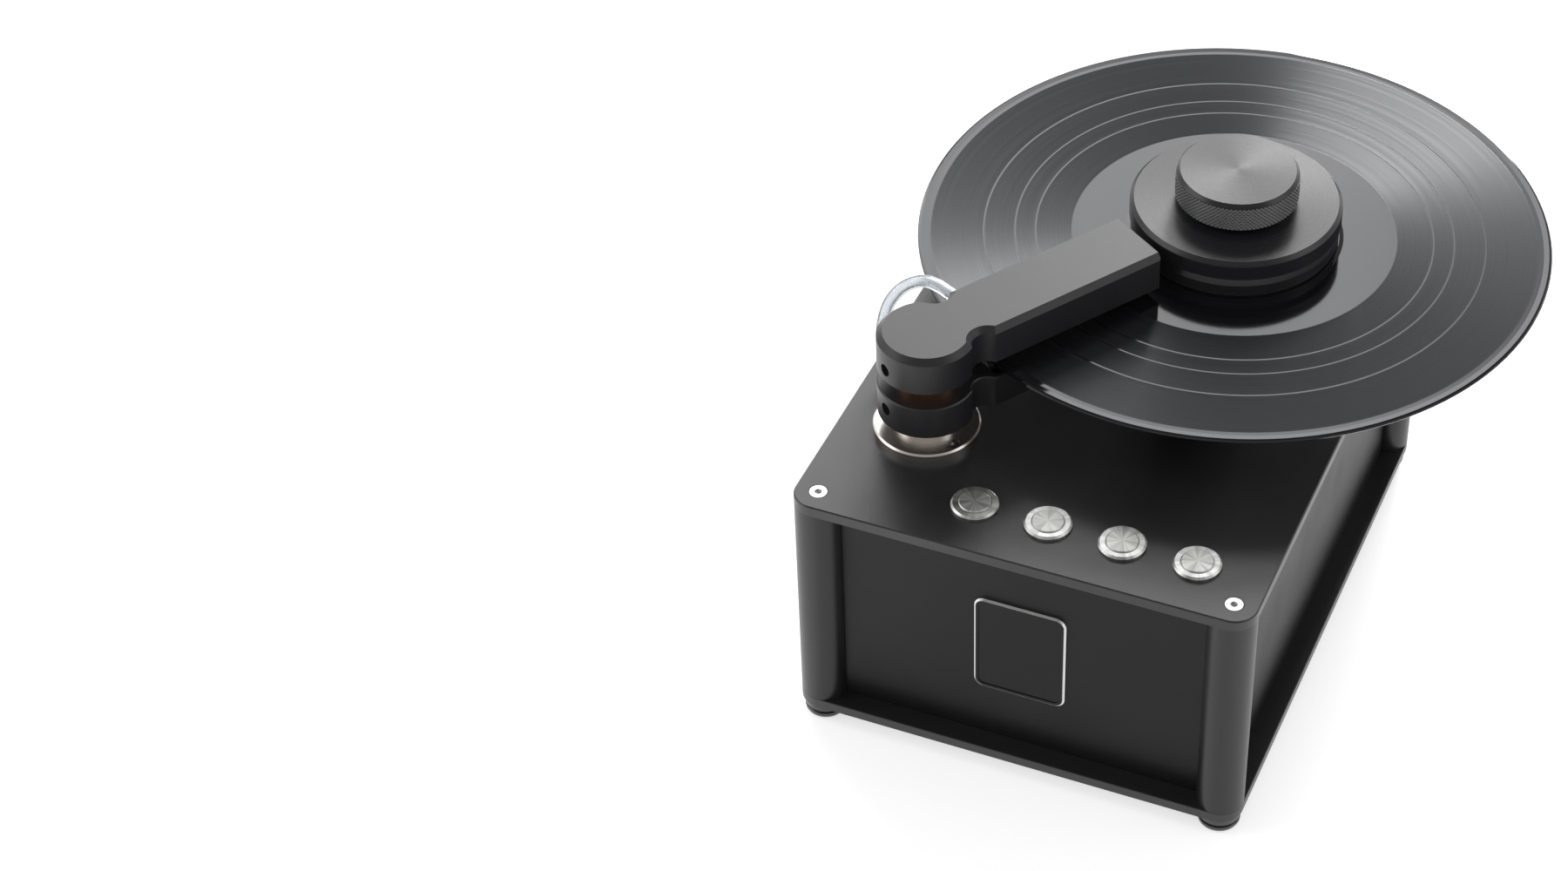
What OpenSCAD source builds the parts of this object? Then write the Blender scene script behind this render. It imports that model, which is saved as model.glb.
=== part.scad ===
// Vacuum record cleaning machine.
// A plate-and-post housing carries a turning record seat with a screw-down clamp
// and a tower with two suction arms, one below the record and one above it.
// Heights in the modules are measured from the top plate's upper face.

/* [Housing] */
// Width of the top and bottom plates, left to right
plate_w = 220; // [205:1:250]
// Depth of the plates, front to back
plate_d = 290; // [280:1:330]
// Thickness of the top plate
top_t = 5.5; // [4:0.5:8]
// Thickness of the bottom plate
bottom_t = 5; // [4:0.5:8]
// Height of the corner posts between the plates
post_h = 118.5; // [110:0.5:150]
// Radius of the corner posts and of the plate corners
post_r = 11.2; // [9.5:0.1:13]
// Distance of the side walls behind the plate edges
panel_inset = 10.5; // [8:0.5:12]
// Thickness of the side walls
panel_t = 3; // [2:0.5:4]
// Chamfer along the plate edges
plate_chamfer = 0.6; // [0.3:0.1:1.5]

/* [Feet] */
// Radius of a foot
foot_r = 10; // [8:0.5:12]
// Height of a foot with its pad
foot_h = 9.5; // [8:0.5:14]

/* [Front] */
// Width of the blank front plaque
badge_w = 44.5; // [30:0.5:60]
// Height of the blank front plaque
badge_h = 56; // [40:0.5:80]
// Thickness of the blank front plaque
badge_t = 2; // [1:0.5:4]

/* [Buttons] */
// Distance of the button row behind the front edge
button_y = 28.8; // [26:0.2:34]
// Place of the last button from the right edge
button_x = 34.2; // [32:0.2:38]
// Distance between neighbouring buttons
button_pitch = 35.2; // [30:0.1:37]
// Radius of a button's flange
bezel_r = 11; // [10.5:0.1:12]
// Radius of a button's barrel
barrel_r = 9.5; // [9:0.1:10]
// Radius of a button's cap
cap_r = 7.5; // [6.5:0.1:8]
// Travel of a button
button_travel = 1.5; // [1:0.1:2.5]

/* [Hub] */
// Place of the record's axis from the left edge
hub_x = 138; // [130:1:140]
// Place of the record's axis from the front edge
hub_y = 219; // [214:1:226]
// Radius of the platter
platter_r = 52; // [50:0.5:56]
// Thickness of the platter
platter_t = 5.2; // [5:0.1:7]
// Height of the record's seat above the top plate
seat_z = 32.1; // [30:0.1:36]
// Radius of the spindle through the record
spindle_r = 3.6; // [3.5:0.05:3.6]
// Radius of the shaft in the hub bearing
shaft_r = 8; // [7:0.5:10]
// Radius of the fixed hub bearing above the plate
bearing_r = 20; // [18:0.5:24]

/* [Record] */
// Radius of the record
record_r = 150.8; // [150:0.1:151.5]
// Thickness of the record at its edge and label
record_t = 2; // [1.6:0.1:2.6]
// Thickness of the record's grooved band
groove_t = 1.6; // [1.2:0.1:1.6]
// Radius of the label area under the clamp
label_r = 50; // [48:0.5:50]
// Radius of the record's centre hole
record_hole_r = 3.65; // [3.65:0.01:3.75]

/* [Clamp] */
// Radius of the clamp disc
clamp_r = 50.4; // [48:0.1:51]
// Thickness of the upper clamp disc
clamp_t = 10.2; // [8:0.1:14]
// Height of the clamp ring below the disc
ring_h = 8.8; // [7:0.1:12]
// Thickness of the rubber seal on the record
seal_t = 1; // [0.8:0.1:1.6]
// Radius of the clamp knob
knob_r = 29.1; // [26:0.1:34]
// Height of the clamp knob
knob_h = 14.2; // [12:0.1:20]
// Gap between the knob and the disc
knob_gap = 2.9; // [2:0.1:5]
// Number of ridges in the knob's grip
knob_ridges = 120; // [60:2:140]
// Depth of the knob's grip
knurl_depth = 0.5; // [0.3:0.05:0.6]

/* [Tower] */
// Place of the tower's axis from the left edge
tower_x = 40.2; // [38:0.2:44]
// Place of the tower's axis from the front edge
tower_y = 70.2; // [66:0.2:76]
// Radius of the tower's base flange
flange_r = 24.9; // [24:0.1:28]
// Thickness of the tower's base flange
flange_t = 4.2; // [3:0.1:6]
// Radius of the tower's shaft
tower_shaft_r = 8; // [6:0.5:9]
// Radius of the bronze bush between the arms
bush_r = 14.7; // [12:0.1:18]
// Least clearance between the bronze bush and the record's edge
bush_clearance = 12.5; // [10:0.5:16]

/* [Arms] */
// Radius of an arm's round head
head_r = 22.7; // [21:0.1:24]
// Width of both arms
arm_w = 36.4; // [36:0.2:38]
// Height of the lower arm's underside
lower_z = 13; // [11:0.5:14]
// Thickness of the lower arm
lower_t = 16.5; // [15:0.1:17]
// Height of the upper arm's underside above the record
upper_gap = 4.9; // [4.5:0.1:7]
// Thickness of the upper arm
upper_t = 19; // [17:0.5:24]
// Chamfer around the upper arm's top
arm_chamfer = 2.75; // [1.5:0.05:3]
// Radius of the rounded waist beside each head
waist_r = 7.5; // [6:0.1:8]
// Gap between the lower arm's end and the platter
lower_end_gap = 4; // [2.5:0.5:8]
// Gap between the upper arm's end and the clamp
upper_end_gap = 8.2; // [6:0.1:12]

/* [Suction lips] */
// Width of the open suction slot
slot_w = 4.6; // [4:0.1:5]
// Depth of the open suction slot
slot_depth = 8; // [5:0.5:10]
// Width of each velvet lip with its metal rail
lip_w = 8; // [7.6:0.1:8.2]
// Wall of the metal rails
rail_wall = 0.8; // [0.5:0.1:1]
// Clearance between the velvet and the record
lip_clearance = 0.4; // [0.3:0.1:1]
// Width of the brush channel
channel_w = 8.4; // [8:0.1:8.6]

/* [Hoses] */
// Outer diameter of the silicone hoses
hose_d = 6; // [5:0.1:6]
// Bore of the silicone hoses
hose_bore = 3.4; // [3:0.1:3.8]

/* [Hidden] */
$fn = 96;
eps = 0.01;
fit = 0.05;
seam = 0.1;
clear = 0.3;

// Levels
under_top = -top_t;
floor_z = -top_t - post_h;
base_z = floor_z - bottom_t;
foot_z = base_z - foot_h;
record_top = seat_z + record_t;
clamp_z = record_top + seal_t;
disc_z = clamp_z + ring_h;
disc_top = disc_z + clamp_t;
knob_z = disc_top + knob_gap;
knob_top = knob_z + knob_h;
lower_top = lower_z + lower_t;
upper_z = record_top + upper_gap;
upper_top = upper_z + upper_t;

// Direction of the arms, and the record's axis, which keeps the record clear of the tower
arm_angle = atan2(hub_y - tower_y, hub_x - tower_x);
hub_dist = max(norm([hub_x - tower_x, hub_y - tower_y]), record_r + bush_r + bush_clearance);
hub_at = [tower_x + hub_dist * cos(arm_angle), tower_y + hub_dist * sin(arm_angle)];

// The frame's origin is below the middle of the whole object, on the ground
back_y = max(plate_d, hub_at[1] + record_r);
origin_shift = [-hub_at[0], -back_y / 2, -foot_z];

// Lengths of the arms
lower_end = hub_dist - platter_r - lower_end_gap;
upper_end = hub_dist - clamp_r - upper_end_gap;
arm_half = arm_w / 2;

// Colours
anodised = [0.40, 0.40, 0.42];
dark_anodised = [0.27, 0.27, 0.29];
silver = [0.84, 0.84, 0.85];
steel = [0.66, 0.67, 0.68];
bronze = [0.62, 0.38, 0.22];
black = [0.05, 0.05, 0.055];
rubber = [0.08, 0.08, 0.08];
silicone = [0.86, 0.91, 0.95];
translucent = [0.85, 0.87, 0.88];
board_green = [0.06, 0.25, 0.14];

// Inner faces of the side walls
inner_left = panel_inset + panel_t;
inner_right = plate_w - panel_inset - panel_t;
inner_front = panel_inset + panel_t;
rear_y = plate_d - panel_inset - panel_t;
first_button_x = plate_w - button_x - 3 * button_pitch;

module place() {
    translate(origin_shift) children();
}

module at_corners() {
    for (x = [post_r, plate_w - post_r])
        for (y = [post_r, plate_d - post_r])
            translate([x, y, 0]) children();
}

module at_hub() {
    translate([hub_at[0], hub_at[1], 0]) children();
}

module at_tower() {
    translate([tower_x, tower_y, 0]) rotate(arm_angle) children();
}

module at_button(i) {
    translate([first_button_x + i * button_pitch, button_y, 0]) children();
}

// A cylinder with a chamfer at its top and, if asked, at its foot
module turned(r, h, top = 0, foot = 0) {
    translate([0, 0, foot]) cylinder(r = r, h = h - top - foot);
    if (top > 0) translate([0, 0, h - top]) cylinder(r1 = r, r2 = r - top, h = top);
    if (foot > 0) cylinder(r1 = r - foot, r2 = r, h = foot);
}

module tube(r, bore, h) {
    difference() {
        cylinder(r = r, h = h);
        translate([0, 0, -eps]) cylinder(r = bore, h = h + 2 * eps);
    }
}

// A block with rounded upright edges
module round_block(size, r) {
    linear_extrude(size[2])
        round_rect(size[0], size[1], r);
}

module round_rect(w, d, r) {
    translate([r, 0]) square([w - 2 * r, d]);
    translate([0, r]) square([w, d - 2 * r]);
    for (x = [r, w - r])
        for (y = [r, d - r])
            translate([x, y]) circle(r);
}

// Removes a 45 degree chamfer from the upper edge of a straight side along X
module edge_cut(length, c) {
    rotate([45, 0, 0]) translate([0, -c * sqrt(2) / 2, -c * sqrt(2) / 2])
        cube([length, c * sqrt(2), c * sqrt(2)]);
}

// Removes the same chamfer from a quarter-round corner at the origin
module corner_cut(r, c) {
    intersection() {
        translate([-r - 1, -r - 1, -c]) cube([r + 1, r + 1, 2 * c]);
        difference() {
            translate([0, 0, -c]) cylinder(r = r + 1, h = 2 * c);
            translate([0, 0, -c]) cylinder(r1 = r, r2 = r - c, h = c);
            translate([0, 0, -eps]) cylinder(r = r - c, h = c + 1);
        }
    }
}

// A plate with round corners and a chamfered upper edge, its top at z = 0
module machined_plate(w, d, t, r, c) {
    difference() {
        translate([0, 0, -t]) round_block([w, d, t], r);
        translate([r, 0, 0]) edge_cut(w - 2 * r, c);
        translate([r, d, 0]) edge_cut(w - 2 * r, c);
        translate([0, r, 0]) rotate(90) edge_cut(d - 2 * r, c);
        translate([w, r, 0]) rotate(90) edge_cut(d - 2 * r, c);
        translate([r, r, 0]) corner_cut(r, c);
        translate([w - r, r, 0]) rotate(90) corner_cut(r, c);
        translate([w - r, d - r, 0]) rotate(180) corner_cut(r, c);
        translate([r, d - r, 0]) rotate(270) corner_cut(r, c);
    }
}

// Countersunk screws
screw_head_r = 4.1;
screw_head_h = 2.6;
screw_r = 2.4;
screw_len = 16;
hex_r = 1.9;
hex_depth = 2;

module countersunk_screw(head_r, head_h, r, length, socket) {
    difference() {
        union() {
            translate([0, 0, -head_h]) cylinder(r1 = r, r2 = head_r, h = head_h);
            translate([0, 0, -length]) cylinder(r = r, h = length - head_h + eps);
        }
        translate([0, 0, -hex_depth]) cylinder(r = socket, h = hex_depth + 1, $fn = 6);
    }
}

module countersink(head_r, head_h, r, length) {
    translate([0, 0, -head_h]) cylinder(r1 = r + seam, r2 = head_r + 0.4, h = head_h);
    translate([0, 0, -eps]) cylinder(r = head_r + 0.4, h = 1);
    translate([0, 0, -length]) cylinder(r = r + seam, h = length);
}

// Housing
hose_hole_r = 4.2;
hose_hole_1 = [15.9, 102.8];
hose_hole_2 = [16.5, 92];
bearing_hole_r = bearing_r + seam;
tower_hole_r = tower_shaft_r + seam;
flange_screw_r = 1.5;
flange_pcd_r = flange_r - 4.9;

module top_plate() {
    color(anodised) place() difference() {
        machined_plate(plate_w, plate_d, top_t, post_r, plate_chamfer);
        at_corners() countersink(screw_head_r, screw_head_h, screw_r, top_t + 1);
        for (i = [0:3])
            at_button(i) translate([0, 0, -top_t - 1]) cylinder(r = barrel_r + seam, h = top_t + 2);
        at_hub() translate([0, 0, -top_t - 1]) cylinder(r = bearing_hole_r, h = top_t + 2);
        at_tower() {
            translate([0, 0, -top_t - 1]) cylinder(r = tower_hole_r, h = top_t + 2);
            for (v = [-flange_pcd_r, flange_pcd_r])
                translate([0, v, -top_t - 1]) cylinder(r = flange_screw_r + seam, h = top_t + 2);
        }
        for (p = [hose_hole_1, hose_hole_2])
            translate([p[0], p[1], -top_t - 1]) cylinder(r = hose_hole_r + seam, h = top_t + 2);
    }
}

stud_r = 3;
stud_h = bottom_t + 8;
drain_x = plate_w - 52;
drain_z = floor_z + 18;

module bottom_plate() {
    color(anodised) place() difference() {
        translate([0, 0, floor_z]) machined_plate(plate_w, plate_d, bottom_t, post_r, plate_chamfer / 2);
        at_corners() translate([0, 0, base_z - 1]) cylinder(r = stud_r + seam, h = bottom_t + 2);
    }
}

post_side = post_r + seam;

module post_clearance() {
    at_corners() translate([0, 0, floor_z - 1]) cylinder(r = post_side, h = post_h + 2);
}

module front_panel() {
    color(dark_anodised) place() difference() {
        translate([post_r, panel_inset, floor_z]) cube([plate_w - 2 * post_r, panel_t, post_h]);
        post_clearance();
    }
}

socket_w = 27.5;
socket_h = 20;
socket_x = 40;
socket_z = floor_z + 14;
spigot_r = 4;

module rear_panel() {
    color(dark_anodised) place() difference() {
        translate([post_r, rear_y, floor_z]) cube([plate_w - 2 * post_r, panel_t, post_h]);
        post_clearance();
        translate([socket_x - seam, rear_y - 1, socket_z - seam])
            cube([socket_w + 2 * seam, panel_t + 2, socket_h + 2 * seam]);
        translate([drain_x, rear_y - 1, drain_z]) rotate([-90, 0, 0])
            cylinder(r = spigot_r + seam, h = panel_t + 2);
    }
}

module side_wall(x) {
    difference() {
        translate([x, post_r, floor_z]) cube([panel_t, plate_d - 2 * post_r, post_h]);
        post_clearance();
    }
}

module left_panel() {
    color(dark_anodised) place() side_wall(panel_inset);
}

module right_panel() {
    color(dark_anodised) place() side_wall(inner_right);
}

module corner_posts() {
    color(anodised) place() at_corners() translate([0, 0, floor_z]) difference() {
        cylinder(r = post_r, h = post_h);
        translate([0, 0, -eps]) cylinder(r = stud_r + seam, h = stud_h - bottom_t + 1);
        translate([0, 0, post_h + top_t - screw_len - 1]) cylinder(r = screw_r + seam, h = screw_len);
    }
}

module plate_screws() {
    color(silver) place() at_corners()
        countersunk_screw(screw_head_r, screw_head_h, screw_r, screw_len, hex_r);
}

// Turned feet with two grooves and a rubber pad let into the underside
pad_t = 1.5;
pad_r = foot_r - 3;
groove_in = 1.2;

module feet() {
    color(silver) place() at_corners() translate([0, 0, base_z]) {
        difference() {
            rotate_extrude() polygon([
                [0, 0], [foot_r - groove_in, 0], [foot_r - groove_in, -1],
                [foot_r - 0.4, -1], [foot_r, -1.4], [foot_r, -0.42 * foot_h],
                [foot_r - groove_in, -0.42 * foot_h - 0.4], [foot_r - groove_in, -0.42 * foot_h - 1],
                [foot_r, -0.42 * foot_h - 1.6], [foot_r, -foot_h + 2.4],
                [foot_r - 0.6, -foot_h + 1.2], [foot_r - 1.8, -foot_h + 0.5],
                [pad_r + 0.4, -foot_h + 0.5], [0, -foot_h + 0.5],
            ]);
            translate([0, 0, -foot_h - eps]) cylinder(r = pad_r + seam, h = pad_t);
        }
        translate([0, 0, -eps]) cylinder(r = stud_r, h = stud_h);
    }
}

module foot_pads() {
    color(rubber) place() at_corners() translate([0, 0, foot_z]) turned(pad_r, pad_t - eps, 0, 0.3);
}

// Blank front plaque with a raised polished rim
rim_w = 1.6;

module front_badge() {
    color(silver) place()
        translate([plate_w / 2 - badge_w / 2, panel_inset, floor_z + post_h / 2 - badge_h / 2])
            rotate([90, 0, 0]) difference() {
                union() {
                    translate([rim_w / 2, rim_w / 2, 0])
                        round_block([badge_w - rim_w, badge_h - rim_w, badge_t], 4);
                    round_block([badge_w, badge_h, badge_t - rim_w / 2], 5);
                }
                translate([rim_w * 1.4, rim_w * 1.4, badge_t - 0.4])
                    round_block([badge_w - 2.8 * rim_w, badge_h - 2.8 * rim_w, 1], 3);
            }
}

// Push buttons
bezel_h = 2;
barrel_len = 24;
cap_z = 2.6;
cap_len = 9;

module button_bezels() {
    color(silver) place() for (i = [0:3]) at_button(i) difference() {
        union() {
            turned(bezel_r, bezel_h, 0.9, 0);
            translate([0, 0, -barrel_len]) cylinder(r = barrel_r, h = barrel_len + eps);
        }
        translate([0, 0, cap_z - cap_len - button_travel - clear])
            cylinder(r = cap_r + seam, h = cap_len + 4);
    }
}

nut_t = 4;

module button_nuts() {
    color(steel) place() for (i = [0:3]) at_button(i) translate([0, 0, -top_t - nut_t]) difference() {
        cylinder(r = barrel_r + 4.5, h = nut_t, $fn = 6);
        translate([0, 0, -1]) cylinder(r = barrel_r + seam, h = nut_t + 2);
    }
}

module button_cap(i) {
    color(silver) place() at_button(i) translate([0, 0, cap_z - cap_len]) turned(cap_r, cap_len, 0.5, 0);
}

module button_cap_1() { button_cap(0); }
module button_cap_2() { button_cap(1); }
module button_cap_3() { button_cap(2); }
module button_cap_4() { button_cap(3); }

// Tower
tower_nut_t = 6;
tower_tail = top_t + tower_nut_t + 2;
neck_r = flange_r * 0.62;
shaft_top = upper_z + upper_t * 0.7;

module tower_flange() {
    color(silver) place() at_tower() difference() {
        union() {
            turned(flange_r, flange_t, 0.8, 0);
            cylinder(r = neck_r, h = lower_z);
        }
        translate([0, 0, -1]) cylinder(r = tower_shaft_r + fit, h = lower_z + 2);
        for (v = [-flange_pcd_r, flange_pcd_r])
            translate([0, v, flange_t]) countersink(3.1, 1.8, flange_screw_r, flange_t + 1);
    }
}

module flange_screws() {
    color(steel) place() at_tower() for (v = [-flange_pcd_r, flange_pcd_r])
        translate([0, v, flange_t]) countersunk_screw(3.3, 1.8, flange_screw_r, flange_t + top_t, 1.3);
}

module tower_shaft() {
    color(steel) place() at_tower() translate([0, 0, -tower_tail])
        turned(tower_shaft_r, tower_tail + shaft_top, 0.6, 0.6);
}

module tower_nut() {
    color(steel) place() at_tower() translate([0, 0, -top_t - tower_nut_t]) difference() {
        cylinder(r = tower_shaft_r + 6, h = tower_nut_t, $fn = 6);
        translate([0, 0, -1]) cylinder(r = tower_shaft_r + fit, h = tower_nut_t + 2);
    }
}

module bronze_bush() {
    color(bronze) place() at_tower() translate([0, 0, lower_top]) difference() {
        turned(bush_r, upper_z - lower_top - clear, 0.5, 0);
        translate([0, 0, -1]) cylinder(r = tower_shaft_r + fit, h = upper_z - lower_top + 2);
    }
}

// Arms: a round head, two scalloped waists and a straight bar
waist_u = head_r - 3.7;
waist_v = arm_half + waist_r - 4;

module round_ended_bar(length, corner) {
    translate([0, -arm_half]) square([length - corner, arm_w]);
    translate([0, -arm_half + corner]) square([length, arm_w - 2 * corner]);
    for (v = [-arm_half + corner, arm_half - corner])
        translate([length - corner, v]) circle(corner);
}

module square_ended_bar(length, corner) {
    polygon([
        [0, -arm_half], [length - corner, -arm_half], [length, -arm_half + corner],
        [length, arm_half - corner], [length - corner, arm_half], [0, arm_half],
    ]);
}

// The arm's outline is the child
module arm_block(length, t, c) {
    difference() {
        union() {
            turned(head_r, t, c, 0);
            difference() {
                linear_extrude(t) children();
                for (v = [-arm_half, arm_half])
                    translate([-1, v, t]) edge_cut(length + 2, c);
            }
        }
        for (v = [-waist_v, waist_v]) translate([waist_u, v, 0]) {
            translate([0, 0, -1]) cylinder(r = waist_r, h = t + 2);
            translate([0, 0, t - c + seam]) cylinder(r1 = waist_r, r2 = waist_r + c, h = c);
        }
    }
}

// Working face of an arm, measured across it from the outer side
wall = 2.6;
slot_v = -arm_half + wall;
lip_1_v = slot_v + slot_w;
lip_2_v = lip_1_v + lip_w + 0.2;
channel_v = lip_2_v + lip_w + 0.8;
lip_start = hub_dist - record_r - 1;
lower_lip_end = lower_end - 3;
upper_lip_end = upper_end - 3;
seat_depth = 3;

module slot_cut(u0, u1, v0, w, depth) {
    r = w / 2;
    translate([0, 0, -depth]) linear_extrude(depth + 1) {
        translate([u0 + r, v0]) square([u1 - u0 - w, w]);
        for (u = [u0 + r, u1 - r])
            translate([u, v0 + r]) circle(r);
    }
}

// Cuts of the working face, seen with that face at z = 0 and upwards
module face_cuts(u1) {
    slot_cut(lip_start + 1, u1, slot_v, slot_w - 0.5, slot_depth);
    translate([lip_start, lip_1_v, -seat_depth]) cube([u1 - lip_start, 2 * lip_w + 0.2, seat_depth + 1]);
    for (v = [lip_1_v, lip_2_v])
        slot_cut(lip_start + 4, u1 - 4, v + lip_w / 2 - 1, 2, slot_depth);
}

channel_start = lip_start + 9;
channel_end = lower_end - 2.6;
channel_depth = 9;
grub_r = 3;
lower_grub_z = lower_z + lower_t * 0.55;
barb_u = 32;
barb_z = lower_top - 5.5;
barb_hole_r = 2.6;

module grub_hole(z) {
    translate([-tower_shaft_r, 0, z]) rotate([0, -90, 0]) cylinder(r = grub_r + seam, h = head_r);
}

module grub_screw(z, start, length) {
    translate([-start, 0, z]) rotate([0, -90, 0]) difference() {
        cylinder(r = grub_r, h = length);
        translate([0, 0, length - 3]) cylinder(r = grub_r / 2, h = 4, $fn = 6);
    }
}

thumb_screw_r = 4.2;
thumb_u = lip_start + thumb_screw_r + 0.54;
thumb_v = channel_v + channel_w / 2;

module lower_arm() {
    color(dark_anodised) place() at_tower() difference() {
        translate([0, 0, lower_z]) arm_block(lower_end, lower_t, 0.6) round_ended_bar(lower_end, 5);
        translate([0, 0, lower_z - 1]) cylinder(r = tower_shaft_r + fit, h = lower_t + 2);
        translate([0, 0, lower_top]) face_cuts(lower_lip_end);
        translate([0, 0, lower_top])
            slot_cut(channel_start, channel_end, channel_v, channel_w, channel_depth);
        grub_hole(lower_grub_z);
        translate([thumb_u, thumb_v, lower_top - 6]) cylinder(r = 1.6, h = 7);
        translate([barb_u, arm_half + 1, barb_z]) rotate([90, 0, 0])
            cylinder(r = barb_hole_r + fit, h = barb_stem + 2);
    }
}

// Velvet lip on a metal rail, its seat at z = 0 and the pile upwards
module lip_rail(u1, v, rise) {
    w = lip_w - 0.3;
    translate([lip_start + 0.2, v + 0.15, -seat_depth]) difference() {
        cube([u1 - lip_start - 0.4, w, seat_depth + rise]);
        translate([rail_wall, rail_wall, 1])
            cube([u1 - lip_start - 0.4 - 2 * rail_wall, w - 2 * rail_wall, seat_depth + rise]);
    }
}

module lip_pile(u1, v, top) {
    w = lip_w - 0.3 - 2 * rail_wall - 0.1;
    r = 1.4;
    translate([lip_start + 0.25 + rail_wall, v + 0.2 + rail_wall, -seat_depth + 1])
        rotate([90, 0, 90]) linear_extrude(u1 - lip_start - 0.5 - 2 * rail_wall) {
            square([w, seat_depth - 1 + top - r]);
            translate([r, 0]) square([w - 2 * r, seat_depth - 1 + top]);
            for (x = [r, w - r])
                translate([x, seat_depth - 1 + top - r]) circle(r, $fn = 32);
        }
}

lower_pile = seat_z - lip_clearance - lower_top;
upper_pile = upper_gap - lip_clearance;
rail_rise = 0.9;

module lower_lip_rails() {
    color(silver) place() at_tower() translate([0, 0, lower_top])
        for (v = [lip_1_v, lip_2_v]) lip_rail(lower_lip_end, v, rail_rise);
}

module lower_arm_lips() {
    color(black) place() at_tower() translate([0, 0, lower_top])
        for (v = [lip_1_v, lip_2_v]) lip_pile(lower_lip_end, v, lower_pile);
}

// Removable brush holder with a ribbed clip near each end
holder_gap = 0.2;
holder_start = channel_start + holder_gap;
holder_end = channel_end - 9;
holder_w = channel_w - 2 * holder_gap;
window_in = 14;

module round_bar(length, w, h) {
    linear_extrude(h) {
        translate([w / 2, 0]) square([length - w, w]);
        for (u = [w / 2, length - w / 2])
            translate([u, w / 2]) circle(w / 2);
    }
}

module brush_holder() {
    color(dark_anodised) place() at_tower()
        translate([holder_start, channel_v + holder_gap, lower_top - channel_depth]) {
            difference() {
                round_bar(holder_end - holder_start, holder_w, channel_depth - 0.8);
                translate([window_in, 1.1, 2.5])
                    cube([holder_end - holder_start - 2 * window_in, holder_w - 2.2, channel_depth]);
            }
            for (u = [window_in - 8, holder_end - holder_start - window_in + 4])
                for (i = [0:1])
                    translate([u + 3 * i, 0.6, channel_depth - 0.9]) cube([1.2, holder_w - 1.2, 1]);
        }
}

module thumb_screw() {
    color(silver) place() at_tower() translate([thumb_u, thumb_v, lower_top]) difference() {
        union() {
            turned(thumb_screw_r, 2, 0.4, 0);
            translate([0, 0, -5]) cylinder(r = 1.5, h = 5 + eps);
        }
        translate([-thumb_screw_r - 1, -0.5, 1.2]) cube([2 * thumb_screw_r + 2, 1, 2]);
    }
}

module lower_arm_screw() {
    color(steel) place() at_tower() grub_screw(lower_grub_z, tower_shaft_r + fit, 10);
}

// Hose coupling with a grip ring, along +Z from the arm's side at z = 0
barb_out = 9.5;
upper_barb_out = 3.5;
barb_r = 3.7;
barb_stem = 4.5;

module hose_barb(out) {
    difference() {
        union() {
            translate([0, 0, -barb_stem]) cylinder(r = barb_hole_r, h = barb_stem + eps);
            turned(barb_r - 0.4, out, 0.5, 0);
            translate([0, 0, out * 0.24]) turned(barb_r, out * 0.46, 0.4, 0.4);
        }
        translate([0, 0, -barb_stem - 1]) cylinder(r = 1.2, h = out + barb_stem + 2);
    }
}

module lower_hose_barb() {
    color(silver) place() at_tower()
        translate([barb_u, arm_half, barb_z]) rotate([-90, 0, 0]) hose_barb(barb_out);
}

// Hoses: a tube swept along hand-set points in the top plate's frame
upper_barb_z = upper_z + upper_t * 0.48;
barb_tip_1 = tower_point(barb_u, arm_half + barb_out, barb_z);
barb_tip_2 = tower_point(barb_u - 1.5, arm_half + upper_barb_out, upper_barb_z);
side_dir = [-sin(arm_angle), cos(arm_angle), 0];
manifold_top = -top_t + 1.5;

function tower_point(u, v, z) = [
    tower_x + u * cos(arm_angle) - v * sin(arm_angle),
    tower_y + u * sin(arm_angle) + v * cos(arm_angle),
    z
];

lower_hose_path = [
    barb_tip_1, barb_tip_1 + 1 * side_dir, barb_tip_1 + 2 * side_dir,
    [28, 112, 22], [22.5, 109.5, 19], [17.5, 106, 15.5], [14, 103, 11], [14, 102.5, 6],
    [hose_hole_1[0], hose_hole_1[1], 1],
    [hose_hole_1[0], hose_hole_1[1], manifold_top + 2],
    [hose_hole_1[0], hose_hole_1[1], manifold_top],
];

upper_hose_path = [
    barb_tip_2, barb_tip_2 + 1.5 * side_dir, barb_tip_2 + 3 * side_dir,
    [28, 113, 48], [20.5, 115, 46.5], [12.5, 113.5, 42.5], [7, 111.5, 36], [4, 109, 28],
    [4, 104, 19], [7.5, 98, 11.5], [12.5, 93.5, 6.5], [hose_hole_2[0], hose_hole_2[1], 1.5],
    [hose_hole_2[0], hose_hole_2[1], manifold_top + 2],
    [hose_hole_2[0], hose_hole_2[1], manifold_top],
];

function unit(v) = v / norm(v);
function path_dir(p, i) =
    i == 0 ? unit(p[1] - p[0])
    : i == len(p) - 1 ? unit(p[i] - p[i - 1])
    : unit(unit(p[i + 1] - p[i]) + unit(p[i] - p[i - 1]));
function bend_point(a, b, c, d, t) = 0.5 * (
    2 * b + (c - a) * t + (2 * a - 5 * b + 4 * c - d) * t * t + (3 * b - a - 3 * c + d) * t * t * t);
function smooth_path(p, n) = [
    for (i = [0:len(p) - 2])
        for (k = [0:n - 1])
            bend_point(p[max(i - 1, 0)], p[i], p[i + 1], p[min(i + 2, len(p) - 1)], k / n),
    p[len(p) - 1]
];
function next_side(s, d) = unit(s - (s * d) * d);
function sides(p, i, s) = i == len(p) ? []
    : let (n = next_side(s, path_dir(p, i))) concat([n], sides(p, i + 1, n));

hose_sides = 10;

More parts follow.
